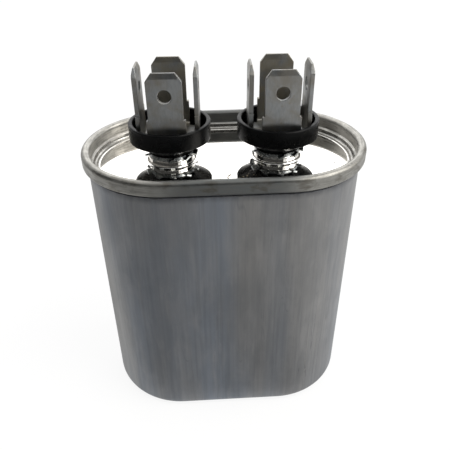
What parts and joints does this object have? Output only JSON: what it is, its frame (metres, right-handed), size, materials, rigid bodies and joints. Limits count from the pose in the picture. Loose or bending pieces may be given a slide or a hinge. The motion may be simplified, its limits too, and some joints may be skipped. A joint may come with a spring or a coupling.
{
  "type": "motor run capacitor",
  "caption": "Oval metal-can motor run capacitor with a double-seamed cover, quick-connect terminals on insulator cups, and a film winding with its pressure interrupter inside.",
  "frame": {"origin": "middle of the can's flat bottom face", "axes": "+Z from the can's bottom to the terminals, +X from the left terminal to the right one, -Y the front, across the can's flat sides"},
  "size_m": [0.055, 0.0338, 0.0738],
  "materials": {
    "can_aluminium": "drawn, satin, with fine upright streaks",
    "tinplate": "bright tinplate",
    "sealing_compound": "matte",
    "black_plastic": "semi-gloss",
    "terminal_metal": "dull tin plating",
    "rivet_steel": "zinc plated",
    "washer_steel": "zinc plated",
    "gasket_rubber": "matte",
    "natural_plastic": "moulded",
    "tab_brass": "stamped",
    "phenolic_board": "pressed board",
    "lead_insulation": "extruded",
    "capacitor_film": "wound film",
    "sprayed_zinc": "sprayed, rough",
    "wrap_board": "pressed paper"
  },
  "bodies": {
    "root": {"can": "can_aluminium", "cover": "tinplate", "seam_compound": "sealing_compound", "left_cup": "black_plastic", "left_terminal": "terminal_metal", "left_rivet": "rivet_steel", "left_star_washer": "washer_steel", "left_gasket": "gasket_rubber", "left_bush": "natural_plastic", "left_break_tab": "tab_brass", "right_cup": "black_plastic", "right_terminal": "terminal_metal", "right_rivet": "rivet_steel", "right_star_washer": "washer_steel", "right_gasket": "gasket_rubber", "right_bush": "natural_plastic", "right_break_tab": "tab_brass", "interrupter_plate": "phenolic_board", "spacer": "natural_plastic", "top_lead": "lead_insulation", "bottom_lead": "lead_insulation", "winding": "capacitor_film", "winding_core": "natural_plastic", "top_spray": "sprayed_zinc", "bottom_spray": "sprayed_zinc", "winding_wrap": "wrap_board", "bottom_tray": "natural_plastic"}
  },
  "joints": []
}
